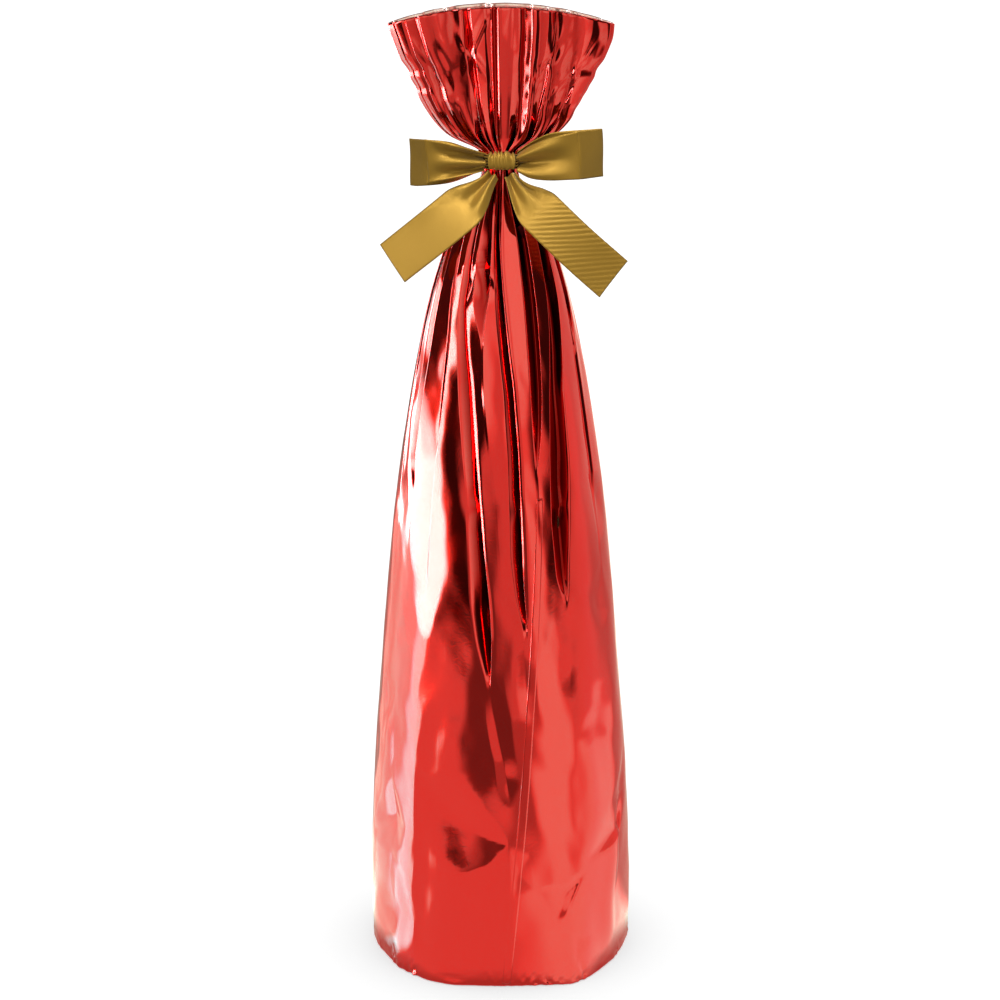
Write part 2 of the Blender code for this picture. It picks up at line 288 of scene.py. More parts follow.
def build_lights():
    """Soft lights for everything but the film: a key on the left, a fill and one from above."""
    made = []
    for name, place, aim, size, power in (
        ("key_left", (-0.55, -0.95, 0.95), (0, 0, 0.31), 0.5, 15.5),
        ("fill_right", (0.9, -0.6, 0.35), (0, 0, 0.3), 0.4, 1.6),
        ("top_light", (0.12, -0.35, 1.1), (0, 0, 0.31), 0.2, 9.5),
        ("back_fill", (0.4, 1.0, 0.7), (0, 0, 0.31), 0.4, 9.0),
    ):
        data = bpy.data.lights.new(name, "AREA")
        data.size = size
        data.energy = power
        light = bpy.data.objects.new(name, data)
        light.location = place
        light.rotation_euler = (Vector(aim) - Vector(place)).to_track_quat("-Z", "Y").to_euler()
        bpy.context.scene.collection.objects.link(light)
        made.append(light)
    return made


# ---- the film: its shape ----

FILM = 0.15  # drawn thickness
FILM_AROUND = 330.0  # the flat tube's length round
BODY_RADIUS = 50.0  # of the body, about
NECK_TOP = 326.2
# The fan's half depth: (height, half depth)
FAN_DEPTHS = ((326.2, 6.6), (330, 5.6), (336, 6.2), (346, 7.0), (360, 7.6), (374, 8.0))
FAN_ARCH = 7.0  # how much higher the rim stands at the middle than at its corners
FACET_COLUMNS = 16
PLEAT_COLUMNS = 9
PLEAT_DEPTH = 7.0  # at most
PAINTED_SHADE_DEPTH = 2.5  # the depth at which the painted shade in a pleat is full
BOTTLE_TOP = 300.0  # pleats keep clear of the bottle below this height
BOTTLE_GAP = 0.9  # from the deepest pleat to the bottle
NECK_ROOM = 0.55  # the share of the half depth that a pleat may take over the bottle
FAN_ROOM = 0.8  # and in the fan
FLATNESS = 0.7  # of the facets between the pleats: 0 is round, 1 is flat
LIFT_MOST = 1.8  # how far a turned facet's edge may stand out
BASE_FOLD = 0.8  # how nearly the foot takes the folded base's outline
BASE_FOLD_TOP = 60.0
CRIMP_DEPTH = 0.9
CRIMP_TOP = 11.0

# Corners of the folded base, seen from above, going round from the front left
BASE_CORNERS = (
    (-19.8, -50.5), (29.8, -50.5), (36.4, -43.7), (46.5, -25.3), (53.8, 0), (48.5, 23), (35, 41),
    (12, 51), (-18, 50), (-38, 38), (-50, 17), (-52.8, 0), (-49.3, -12), (-41.7, -33), (-28.0, -47.6),
)

# Pleats, from left to right: share of the slack, sideways lean of the valley (under the facet on its
# left below 0, on its right above 0), height where it opens from nothing, and (height, left edge, right
# edge) upwards. One that ends below the rim closes again there.
PLEATS = (
    (1.3, 0.3, 143, ((143, -157, -155), (165, -160, -152), (220, -160, -151), (317, -156, -144),
                 (335, -156, -149), (381, -155, -150))),
    (0.9, -0.4, 190, ((190, -137, -135), (210, -140, -132), (260, -139, -130), (317, -136, -127),
                 (335, -139, -132), (381, -137, -133))),
    (1.2, 0.3, 160, ((160, -116, -114), (180, -119, -111), (230, -120, -111), (317, -118, -107),
                 (335, -114, -107), (381, -114, -109))),
    (1.0, -0.3, 214, ((214, -95, -93), (235, -98, -91), (275, -98, -90), (317, -97, -88),
                 (335, -92, -85), (381, -91, -87))),
    (0.6, 0.5, 240, ((240, -74, -72), (275, -80, -73), (317, -82, -73), (335, -74, -69), (381, -71, -68))),
    (0.9, 0.5, 194, ((194, -57, -55.5), (210, -66, -57.5), (253, -66, -57), (290, -69, -60), (317, -68, -58),
                 (335, -62, -56), (381, -60, -57))),
    (0.5, 0.5, 200, ((200, -41, -40), (228, -42, -38.5), (259, -43, -38.5), (293, -51, -45), (317, -51, -44),
                 (335, -54, -48), (350, -51, -46), (381, -49, -45.5))),
    (1.5, 0.6, 127, ((127, -6.5, -4.5), (143, -11.7, -4.2), (158, -14.7, -5.5), (174, -16.3, -8),
                 (201, -19.2, -12), (238, -28.4, -18.7), (272, -36, -29), (300, -38, -28),
                 (317, -38, -27), (335, -24, -18), (350, -21, -17), (381, -19, -16.5))),
    (1.0, 0.6, 258, ((60, 2, 3.5), (150, 1, 2.5), (201, -4, -2.5), (238, -12, -10.5), (258, -14, -12),
                 (267, -20, -11), (275, -24, -9), (294, -23, -9), (317, -22, -13), (330, -16, -12),
                 (344, -14.5, -13.5))),
    (1.2, 0.6, 147, ((147, 11.5, 13.5), (159, 8, 12.5), (174, 5.6, 11.8), (214, 4.6, 10.8),
                 (239, 2.3, 8.7), (265, -3.2, 4), (294, -7, -1), (317, -9, -1), (335, -9, -5),
                 (350, -8.7, -4.8), (381, -8, -4))),
    (1.2, 0.5, 209, ((209, 20.4, 22.2), (220, 20, 25.3), (238, 19.8, 28.4), (274, 20, 31),
                 (294, 20, 32), (317, 17, 28), (335, 8, 14), (350, 7.5, 13.5), (381, 6.5, 12.5))),
    (1.4, 0.3, 157, ((157, 33.5, 36.5), (165, 30, 37.3), (189, 28.6, 39.7), (213, 30, 42.8),
                 (237, 33.7, 44.4), (273, 42, 55.8), (294, 45, 59), (317, 42, 54), (335, 26, 32),
                 (350, 25, 31), (381, 25, 29))),
    (0.8, 0.5, 250, ((250, 66, 68), (275, 68, 76), (317, 68, 80), (335, 46, 54), (350, 48, 56),
                 (366, 54, 57))),
    (1.0, 0.2, 196, ((196, 92, 94), (215, 90, 97), (260, 89, 98), (317, 91, 101), (335, 73, 81),
                 (381, 74, 78))),
    (1.2, 0.4, 150, ((150, 114, 116), (170, 111, 118), (220, 112, 121), (317, 114, 126), (335, 108, 116),
                 (381, 112, 118))),
    (1.0, -0.4, 186, ((186, 136, 138), (205, 132, 139), (260, 133, 142), (317, 136, 146), (335, 138, 144),
                 (381, 140, 145))),
    (1.3, 0.4, 139, ((139, 157, 159), (165, 155, 162), (220, 156, 165), (317, 158, 168), (335, 160, 166),
                (381, 159, 164))),
    (1.0, -0.3, 204, ((204, 182, 184), (225, 178, 186), (270, 180, 189), (317, 178, 188), (335, 182, 188),
                 (381, 183, 187))),
)

# The fan's folds on its front: (share of its half width, how far it stands out)
FAN_FOLDS = (
    (-1, 0), (-0.86, 0.5), (-0.76, -0.9), (-0.72, 1.0), (-0.66, -0.2), (-0.56, 0.7), (-0.5, -0.6),
    (-0.36, 0.3), (-0.3, -0.8), (-0.26, 1.1), (-0.13, -0.1), (-0.085, 0.5), (-0.055, -1.7), (-0.02, 0.5),
    (0.08, 0.2), (0.17, 0.6), (0.215, -1.7), (0.26, -0.2), (0.29, 1.3), (0.34, -0.3), (0.44, 0.8),
    (0.49, -1.1), (0.53, 0.3), (0.62, -0.2), (0.66, -0.8), (0.69, 0.9), (0.8, 0.2), (0.9, -0.2), (1, 0),
)
# and on its back
FAN_BACK_FOLDS = (
    (-1, 0), (-0.82, 0.3), (-0.74, -0.8), (-0.6, 0.9), (-0.5, -0.4), (-0.46, -1.2), (-0.38, 0.8),
    (-0.2, -0.3), (-0.14, 1.1), (-0.06, -1.2), (0.06, 0.5), (0.18, -0.6), (0.24, 0.9), (0.4, -0.2),
    (0.46, -1.4), (0.52, 0.7), (0.66, 0.1), (0.72, -0.8), (0.78, 0.6), (0.9, -0.1), (1, 0),
)

# How far each facet, after the pleat of the same number, is turned towards the right (degrees) where
# the film is gathered
FACET_TURNS = (4, -5, 6, -4, 3, 12, 9, -6, 7, 4, -8, 6, 3, -5, 6, -4, 5, -6)

# Pleats with a bevelled right edge, which mirrors the window strip as a white line
RIDGED = (7, 9)
RIDGE_WIDTH = 1.3
RIDGE_FACES = -31  # the way the bevel faces
RIDGE_TURN = 43  # but it is turned from its facet by no more than this

# Creases: height outwards, reach to the left and to the right, and (height, angle) along it
CREASES = (
    (0.7, 11, 7, ((165, -33), (122, -41), (65, -41), (38, -45), (24, -40.5), (2, -39.5))),
    (-0.8, 6, 9, ((126, -27), (96, -33.4), (82, -34.4), (50, -33.5), (27, -36), (6, -37))),
    (1.3, 7, 2.5, ((76, 80), (67, 66), (42, 61), (26, 57), (4, 58))),
    (-0.9, 4, 6, ((132, -6), (115, -3), (95, 1.5), (78, 4.5))),
    (-0.6, 5, 4, ((151, 13), (135, 11.5), (112, 14))),
    (-0.4, 7, 8, ((161, 35.5), (140, 38), (118, 35))),
    (0.5, 8, 4, ((128, 52), (100, 46), (72, 49), (48, 44))),
    (0.6, 4, 3, ((26, -34), (12.8, -22.6), (1.7, -19))),
    (0.5, 3, 3, ((29, -10.5), (19, -4.3), (8, -2))),
    (-0.6, 4, 4, ((55, -65.5), (42, -49.3), (26, -43), (10, -47))),
    (0.5, 5, 5, ((118, -66), (90, -62), (72, -66))),
    (0.8, 2, 4, ((382, -38), (366, -24), (350, -6))),
    (0.9, 4, 2, ((386, 8), (370, -8), (352, -24))),
    (-0.9, 3, 4, ((380, 50), (362, 33), (346, 18))),
    (0.8, 4, 3, ((372, -62), (356, -44), (340, -30))),
    (0.9, 2, 4, ((374, 68), (356, 52), (342, 30))),
    (-0.6, 5, 7, ((120, 98), (80, 92), (40, 97), (10, 93))),
    (0.7, 9, 7, ((140, 122), (90, 116), (50, 124), (5, 119))),
    (-0.8, 7, 9, ((130, 150), (80, 157), (30, 149), (6, 152))),
    (0.8, 8, 9, ((150, -176), (90, -170), (40, -177), (4, -172))),
    (-0.7, 8, 6, ((136, -150), (95, -144), (45, -150), (8, -146))),
    (0.8, 7, 9, ((150, -124), (100, -118), (60, -125), (5, -120))),
    (-0.6, 6, 6, ((120, -99), (70, -94), (20, -98))),
)

# Dents: depth inwards, the deepest point, and the corners round it, all as (angle, height)
DENTS = (
    (2.7, (-57, 65), ((-57, 80), (-46, 61), (-50, 52), (-65, 48), (-80, 49), (-70, 66))),
    (3.3, (-22, 69), ((-36, 84), (-34, 66), (-28, 53), (-18, 47), (-5, 52), (4, 61), (-3, 71), (-12, 80),
                      (-21, 90))),
    (1.7, (65, 57), ((80, 90), (70, 80), (60, 70), (50, 59), (39, 48), (52, 49), (67, 55), (77, 70))),
    (1.2, (31, 39), ((18, 41), (40, 45), (25, 26))),
    (1.0, (35, 17.5), ((22, 27), (42, 17), (33, 8))),
    (-0.45, (-22, 106), ((-27, 119), (-21, 117), (-18, 104), (-15, 96), (-27, 94))),
    (0.9, (-66, 108), ((-72, 122), (-60, 116), (-59, 98), (-70, 94))),
    (0.6, (48, 106), ((42, 126), (58, 120), (60, 98), (47, 88), (40, 102))),
    (0.8, (8, 49), ((4, 60), (13, 56), (15, 42), (6, 38))),
    (0.7, (-14, 34), ((-24, 40), (-12, 43), (-4, 34), (-12, 24), (-22, 28))),
    (1.2, (-26, 278), ((-38, 285), (-22, 287), (-17, 272), (-30, 269))),
    (1.1, (-12, 280), ((-22, 287), (-6, 281), (-2, 274), (-14, 270), (-19, 275))),
    (-1.0, (-20, 288), ((-27, 293), (-15, 291), (-14, 284), (-28, 283))),
    (0.6, (-56, 201), ((-66, 206), (-56, 212), (-48, 203), (-50, 194), (-60, 192))),
    (1.0, (70, 190), ((62, 204), (78, 200), (80, 178), (66, 174))),
    (0.9, (60, 150), ((50, 160), (66, 166), (74, 146), (60, 138))),
    (1.5, (105, 70), ((95, 88), (112, 84), (118, 66), (104, 52), (96, 60))),
    (2.0, (140, 96), ((128, 110), (148, 112), (152, 92), (138, 80), (128, 88))),
    (1.8, (165, 48), ((154, 60), (172, 64), (178, 44), (164, 34), (155, 40))),
    (2.2, (-160, 88), ((-172, 98), (-158, 106), (-148, 92), (-152, 76), (-168, 74))),
    (1.6, (-132, 56), ((-142, 70), (-126, 66), (-122, 50), (-134, 42), (-144, 50))),
    (1.8, (-104, 92), ((-114, 106), (-100, 104), (-94, 88), (-104, 76), (-114, 84))),
    (1.2, (175, 150), ((166, 160), (182, 164), (186, 146), (172, 138))),
    (1.2, (-110, 134), ((-118, 146), (-104, 144), (-100, 126), (-114, 122))),
    (1.6, (-40, 352), ((-52, 358), (-38, 366), (-27, 356), (-30, 344), (-48, 344))),
    (1.3, (31, 372), ((25, 382), (36, 380), (38, 366), (30, 358), (24, 368))),
    (1.4, (-26, 373), ((-38, 379), (-24, 384), (-16, 374), (-22, 362), (-34, 366))),
    (1.0, (62, 368), ((54, 378), (68, 376), (76, 364), (64, 356), (54, 362))),
    (0.9, (6, 374), ((0, 386), (10, 384), (14, 372), (8, 360), (1, 366))),
)


def blurred(table, rows):
    """The table, averaged along its first axis over a few rows on each side."""
    weights = np.hanning(2 * rows + 3)[1:-1]
    padded = np.pad(table, [(rows, rows)] + [(0, 0)] * (table.ndim - 1), mode="edge")
    moved = [padded[k : k + len(table)] * w for k, w in enumerate(weights)]
    return sum(moved) / weights.sum()


def cad_points(node):
    return np.array([v.co for v in frame["nodes"][node].data.vertices]) / MM


def turned_radius(nodes, heights):
    """The outer radius of turned CAD nodes at each height, and 0 above them all."""
    radius = np.zeros(len(heights))
    for node in nodes:
        points = cad_points(node)
        z = np.round(points[:, 2], 1)
        found = {h: np.hypot(*points[z == h, :2].T).max() for h in np.unique(z)}
        known = np.array(sorted(found))
        outer = np.interp(heights, known, [found[h] for h in known], left=0, right=0)
        radius = np.maximum(radius, outer)
    return radius


def film_heights():
    foot = [0.3, 0.7, 1.3, 2.1, 3.1, 4.3]
    rim = cad_points("mouth_fan")[:, 2].max() - FAN_ARCH
    body = np.arange(5.6, NECK_TOP - 1, 1.25)
    return np.concatenate([foot, body, np.linspace(NECK_TOP, rim, 54)])


def film_outline(heights):
    """Half widths to the left and the right, and half depth, of the film's outline at each height."""
    body = turned_radius(["bag_body"], heights)
    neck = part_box("gathered_neck")[1].x / MM - 0.4
    body = np.where(heights < 4.4, turned_radius(["bag_body"], np.array([4.5]))[0], body)
    body = np.where(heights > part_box("bag_body")[1].z / MM - 1.5, neck, body)
    fan = cad_points("mouth_fan")
    side = fan[np.abs(fan[:, 1]) < 0.05]
    halves = []
    for sign in (-1, 1):
        edge = side[side[:, 0] * sign > 0]
        edge = edge[np.argsort(edge[:, 2])]
        known, reach = edge[:, 2], np.abs(edge[:, 0])
        outermost = reach >= np.maximum.accumulate(reach)
        known, reach = known[outermost], reach[outermost]
        outer = np.interp(heights, np.append(NECK_TOP - 1, known), np.append(neck, reach))
        halves.append(np.where(heights > NECK_TOP - 1, outer, body))
    depth = np.interp(heights, *zip(*FAN_DEPTHS))
    depth = np.where(heights > NECK_TOP - 1, depth, body)
    return [blurred(v, 3) for v in (*halves, depth)]


def polygon_radius(angles, corners):
    """How far out a polygon round the origin reaches at each angle (radians from the front)."""
    reach = np.full(angles.shape, 1e9)
    for (x0, y0), (x1, y1) in zip(corners, corners[1:] + corners[:1]):
        normal = np.array([y1 - y0, x0 - x1])
        along = normal[0] * np.sin(angles) - normal[1] * np.cos(angles)
        distance = (normal @ (x0, y0)) / np.where(np.abs(along) < 1e-9, 1e-9, along)
        reach = np.where((distance > 0) & (distance < reach), distance, reach)
    return reach


def pleat_edges(heights):
    """Left and right edge (degrees) and openness (0 to 1) of each pleat at each height."""
    left, right, open_share = [], [], []
    for share, lean, opens, stations in PLEATS:
        z, a, b = np.array(stations, float).T
        left.append(np.interp(heights, z, a))
        right.append(np.interp(heights, z, b))
        opened = np.clip((heights - opens) / 26, 0, 1) ** 0.8
        if z[-1] < 380:
            opened = opened * (1 - smoothstep(heights, z[-1] - 14, z[-1]))
        open_share.append(opened)
    return [blurred(np.array(v).T, 4) for v in (left, right, open_share)]


def wobble(angle, height, amplitude, turns, lengths, seed):
    """Smooth waves over the film: a few sines with whole numbers of turns round the bag."""
    random = np.random.default_rng(seed)
    total = np.zeros(np.broadcast(angle, height).shape)
    for k in range(10):
        around = random.integers(turns[0], turns[1] + 1)
        length = random.uniform(*lengths)
        phase = random.uniform(0, math.tau, 2)
        wave = np.sin(around * angle + phase[0] + math.tau * height / length * random.choice((-1, 1)))
        total += wave * np.cos(math.tau * height / (length * 2.7) + phase[1])
    return total * amplitude / math.sqrt(5)


def creases(angle, height):
    """Outward rise of the film along its creases (millimetres)."""
    total = np.zeros(angle.shape)
    for rise, left, right, line in CREASES:
        z, at = np.array(sorted(line), float).T
        reach = np.radians(angle - np.interp(height, z, at)) * BODY_RADIUS
        side = np.where(reach < 0, -reach / left, reach / right)
        ends = smoothstep(height, z[0] - 3, z[0] + 12) * (1 - smoothstep(height, z[-1] - 24, z[-1]))
        total += rise * np.maximum(1 - side, 0) * ends
    return total


def dents(angle, height, radius):
    """Depth of the film's dents: each is a pyramid of flat facets from its corners to its deepest point."""
    total = np.zeros(angle.shape)
    for depth, (apex_angle, apex_height), corners in DENTS:
        turn = (angle - apex_angle + 180) % 360 - 180
        x = np.radians(turn) * radius
        y = height - apex_height
        local = np.interp(apex_height, height[:, 0], radius[:, 0])
        ring = [(math.radians(a - apex_angle) * local, z - apex_height) for a, z in corners]
        share = np.zeros(angle.shape)
        for (x0, y0), (x1, y1) in zip(ring, ring[1:] + ring[:1]):
            area = x0 * y1 - x1 * y0
            first = (x * y1 - x1 * y) / area
            second = (x0 * y - x * y0) / area
            inside = (first >= 0) & (second >= 0)
            share = np.where(inside, np.maximum(1 - first - second, 0), share)
        total += depth * share
    return total


def crinkles(angle, height, turns, amplitude, seed):
    """Sharp-edged small folds: triangle waves of uneven pitch that change with height."""
    random = np.random.default_rng(seed)
    total = np.zeros(np.broadcast(angle, height).shape)
    for k in range(5):
        around = random.integers(*turns)
        lean = random.uniform(-2.5, 2.5)
        swing = 0.8 * np.sin(random.integers(2, 7) * angle + random.uniform(0, 6))
        phase = around * angle + lean * height + swing * 3 + random.uniform(0, math.tau)
        total += np.abs((phase / math.pi) % 2 - 1) - 0.5
    return total * amplitude / 2


def fan_folds(angle, height):
    """How far the fan's folds stand out. Their lines spread towards the right at the tie."""
    share = np.sin(angle)
    near_tie = (1 - height) ** 2
    share = share / (1 + near_tie * np.where(share > 0, 0.5, -0.2))
    front = np.interp(share, *zip(*FAN_FOLDS))
    back = np.interp(share, *zip(*FAN_BACK_FOLDS))
    return np.where(np.cos(angle) > 0, front, back)


def pleat_depth(heights, outline, opened):
    """How deep a pleat of share 1 is at each height: the slack, shared out where there is room."""
    half_left, half_right, half_depth = outline
    shares = np.array([p[0] for p in PLEATS])
    slack = np.maximum(FILM_AROUND - math.pi * (half_left + half_right) * 0.5 - math.pi * half_depth, 0)
    room = turned_radius(["bottle_glass", "capsule"], heights)
    most = np.where(heights < BOTTLE_TOP, half_depth - blurred(room, 3) - BOTTLE_GAP, half_depth * NECK_ROOM)
    most = np.clip(np.where(heights > NECK_TOP, half_depth * FAN_ROOM, most), 0.3, PLEAT_DEPTH)
    wanted = slack / (2 * np.maximum((opened * shares).sum(1), 0.3))
    return np.minimum(blurred(np.minimum(wanted, most), 3), PLEAT_DEPTH)


def film_columns(heights, outline):
    """The pleats and the facets between them, as one array (rows, columns) for each of: angle, depth
    inwards, shift to the right, painted shade deep in a pleat (0 to 1), share of the way across the facet
    (-1 in a pleat), and the angles where the pleat or facet starts and ends."""
    left, right, opened = pleat_edges(heights)
    depth = pleat_depth(heights, outline, opened)
    mean = (outline[0] + outline[1]) / 2
    fan = smoothstep(heights, NECK_TOP, NECK_TOP + 6)
    high = smoothstep(heights, NECK_TOP - 2, NECK_TOP + 16)
    following = np.roll(left, -1, 1)
    following[:, -1] += 360
    width = np.radians(following - right) * mean[:, None]
    chord = width * np.where(heights > NECK_TOP, 0.5, 1)[:, None]
    lift = np.clip(np.tan(np.radians(FACET_TURNS)) * chord / 2, -LIFT_MOST, LIFT_MOST)
    lift = lift * (smoothstep(heights, 150, 240) * (1 - 0.3 * fan) * (1 - high))[:, None]
    none = np.zeros(len(heights))
    columns = []
    for k, (share, lean, *_) in enumerate(PLEATS):
        a, b, c = left[:, k], right[:, k], following[:, k]
        valley = 0.5 + 0.4 * lean
        for t in np.arange(PLEAT_COLUMNS) / PLEAT_COLUMNS:
            tent = t / valley if t < valley else (1 - t) / (1 - valley)
            dip = depth * opened[:, k] * share * tent**0.9 * (1 - 0.85 * high)
            inward = dip + lift[:, k - 1] * (1 - t) - lift[:, k] * t
            # painted shade: the film is to be darkened the deeper it lies in the pleat
            hidden = np.clip(dip / PAINTED_SHADE_DEPTH, 0, 1)
            columns.append((a + (b - a) * t, inward, lean * dip, hidden, none - 1, a, b))
        slope = np.tan(np.radians(np.clip(b - RIDGE_FACES, 0, RIDGE_TURN))) if k in RIDGED else 0
        for t in (1 - np.cos(np.pi * np.arange(FACET_COLUMNS) / FACET_COLUMNS)) / 2:
            bevel = slope * np.maximum(RIDGE_WIDTH - t * width[:, k], 0) * opened[:, k] * (1 - high)
            inward = lift[:, k] * (2 * t - 1) + bevel
            columns.append((b + (c - b) * t, inward, none, none, none + t, b, c))
    return np.array(columns).transpose(1, 2, 0)


def film_unevenness(angle, z, mean, stretch):
    """Waves, dents, creases and the crimped foot, as depth inwards. stretch is how far the base's folded
    outline reaches, as a share of the film's own radius."""
    a = np.radians(angle)
    calm = 1 - 0.75 * smoothstep(z, 250, 317) - 0.25 * smoothstep(z, NECK_TOP, NECK_TOP + 6)
    mottled = (1 - smoothstep(z, 110, 170)) * smoothstep(z, 4, 16)
    depth = calm * wobble(a, z, 0.22, (4, 13), (60, 200), 3)
    depth = depth + calm * wobble(a, z, 0.05, (14, 30), (20, 60), 5)
    depth = depth + mottled * wobble(a, z, 0.07, (13, 28), (22, 55), 14)
    depth = depth + dents(angle, z, np.broadcast_to(mean, angle.shape)) - creases(angle, z)
    foot = 1 - smoothstep(z, 1, CRIMP_TOP)
    crimped = 0.25 + np.clip((stretch - 0.99) * 18, 0, 1)
    return depth + foot * crimped * crinkles(a, z, (40, 110), CRIMP_DEPTH, 21)


def film_points():
    """The film as a grid of points (rows up the bag, columns round it), in millimetres.

    Also the painted shade at each point, from 0 to 1, deeper the further it lies in a pleat or a fold."""
    heights = film_heights()
    outline = film_outline(heights)
    half_left, half_right, half_depth = (half[:, None] for half in outline)
    angle, inward, across, hidden, facet_share, start, end = film_columns(heights, outline)
    z = heights[:, None]
    a = np.radians(angle)
    fan = smoothstep(z, NECK_TOP, NECK_TOP + 6)
    high = smoothstep(z, NECK_TOP - 2, NECK_TOP + 16)

    def on_outline(degrees):
        turn = np.radians(degrees)
        half = np.where(np.sin(turn) < 0, half_left, half_right)
        return half * np.sin(turn), -half_depth * np.cos(turn)

    x, y = on_outline(angle)
    x0, y0 = on_outline(start)
    x1, y1 = on_outline(end)
    flat = FLATNESS * smoothstep(z, 200, 270) * (facet_share >= 0) * (1 - fan)
    t = np.maximum(facet_share, 0)
    x = x + flat * (x0 + (x1 - x0) * t - x)
    y = y + flat * (y0 + (y1 - y0) * t - y)

    normal_x = np.sin(a) * half_depth
    normal_y = -np.cos(a) * (half_left + half_right) / 2
    size = np.hypot(normal_x, normal_y)
    normal_x, normal_y = normal_x / size, normal_y / size

    stretch = polygon_radius(a, BASE_CORNERS) / np.hypot(x, y)
    grow = 1 + (stretch - 1) * (1 - smoothstep(z, -12, BASE_FOLD_TOP)) * BASE_FOLD
    x, y = x * grow, y * grow

    inward = inward + film_unevenness(angle, z, (half_left + half_right) / 2, stretch)
    folds = fan_folds(a, np.clip((z - NECK_TOP) / 58, 0, 1))
    inward = inward - high * folds
    inward = inward * (1 - high * (1 - np.abs(np.cos(a)) ** 0.8))
    # painted shade in the fan: a little everywhere, more on its folds that lie back
    hidden = np.maximum(hidden, high * np.clip(0.3 - 0.35 * folds, 0, 0.7))

    x = x - normal_x * inward - normal_y * across
    y = y - normal_y * inward + normal_x * across
    arch = FAN_ARCH * np.clip((z - NECK_TOP) / (heights[-1] - NECK_TOP), 0, 1) ** 2
    points = np.stack([x, y, z + arch * np.cos(a) ** 2], 2)
    return (np.roll(points, 1, 1) + 2 * points + np.roll(points, -1, 1)) / 4, hidden


def build_film(finish, lining):
    points, hidden = film_points()
    faces = ring_faces(*hidden.shape)
    bag = new_object("film_bag", points.reshape(-1, 3) * MM, faces, [finish, lining])
    # the painted pleat and fold shade, for the film's material
    values = bag.data.attributes.new("hidden", "FLOAT", "POINT").data
    values.foreach_set("value", hidden.astype(np.float32).ravel())
    wall = bag.modifiers.new("wall", "SOLIDIFY")
    wall.thickness = FILM * MM
    wall.offset = -1
    wall.material_offset = 1
    wall.use_quality_normals = False
    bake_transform(bag)
    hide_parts("bag_body", "gathered_neck", "mouth_fan", "base_seam")
    return bag


SEAM_WIDTH = 3.2
SEAM_FOOT = 1.0
SEAM_RADIUS = 48.0  # of the film under it, about
SEAM_CLEAR = 0.03  # how far its joined edge stands off the film
SEAM_STEP = 0.12  # and its overlapping edge


def build_lap_seam(bag, finish):
    """The overlap of the tube: a narrow strip that follows the film up the front."""
    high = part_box("lap_seam")[1].z / MM
    points = cad_points("lap_seam")
    surface = BVHTree.FromObject(bag, bpy.context.evaluated_depsgraph_get())
    heights = np.arange(SEAM_FOOT, high, 1.5)
    turns = np.degrees(np.arctan2(points[:, 0], -points[:, 1]))
    twist, foot = np.polyfit(points[:, 2], turns, 1)
    shares = np.linspace(-1, 1, 7)
    grid = []
    for z in heights:
        for share in shares:
            turn = math.radians(foot + twist * z) + share * SEAM_WIDTH / 2 / SEAM_RADIUS
            outward = Vector((math.sin(turn), -math.cos(turn), 0))
            hit = surface.ray_cast(outward * 0.09 + Vector((0, 0, z * MM)), -outward)[0]
            ends = smoothstep(z, SEAM_FOOT, SEAM_FOOT + 8) * (1 - smoothstep(z, high - 8, high))
            lift = (SEAM_CLEAR + (SEAM_STEP - SEAM_CLEAR) * (share + 1) / 2 * ends) * MM
            grid.append(hit + outward * lift)
    faces = []
    for i in range(len(heights) - 1):
        for j in range(len(shares) - 1):
            a = i * len(shares) + j
            faces.append((a, a + 1, a + 1 + len(shares), a + len(shares)))
    seam = new_object("film_lap_seam", grid, faces, [finish])
    wall = seam.modifiers.new("wall", "SOLIDIFY")
    wall.thickness = 0.1 * MM
    wall.offset = -1
    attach(seam, "bag")
    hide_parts("lap_seam")
    return seam


# ---- the ribbon: its shape ----

RIBBON_WIDTH = 18.0
RIBBON_THICK = 0.3
RIBBON_COLUMNS = 29  # points across it

# Each loop: its side, how far its upper edge leans out, and its way as seen from above, out along its
# back layer, across its end and home along its front one, as (distance out, distance behind, lower edge,
# upper edge) from the knot's centre
LOOPS = {
    "bow_loop_left": (-1, 0.15, (
        (6.3, 0.9, -3.2, 3.0), (12, 1.7, -5.8, 4.6), (20, 2.6, -8.8, 7.0), (30.6, 3.0, -10.0, 7.9),
        (33.8, 2.6, -9.7, 8.1), (34.6, 1.4, -9.5, 8.4), (31.8, -2.6, -9.1, 8.8), (28.9, -6.6, -8.0, 9.3),
        (28.1, -7.3, -7.3, 9.4), (26.6, -7.5, -6.9, 9.1), (16, -5.2, -5.0, 6.3), (10, -2.8, -4.2, 4.4),
        (6.3, -0.9, -3.4, 3.1),
    )),
    "bow_loop_right": (1, -0.2, (
        (6.3, 0.9, -3.0, 3.2), (12, 1.7, -6.0, 7.0), (20, 2.6, -6.6, 10.4), (34.2, 3.0, -6.5, 11.6),
        (37.4, 2.6, -6.2, 11.9), (38.2, 1.4, -6.1, 12.0), (34.6, -2.6, -5.9, 12.2), (30.2, -6.6, -5.8, 12.4),
        (29.2, -7.3, -5.7, 12.5), (27.6, -7.5, -5.8, 12.1), (18, -5.9, -6.4, 9.4), (11, -3.2, -6.0, 6.2),
        (6.3, -0.9, -3.9, 3.0),
    )),
}
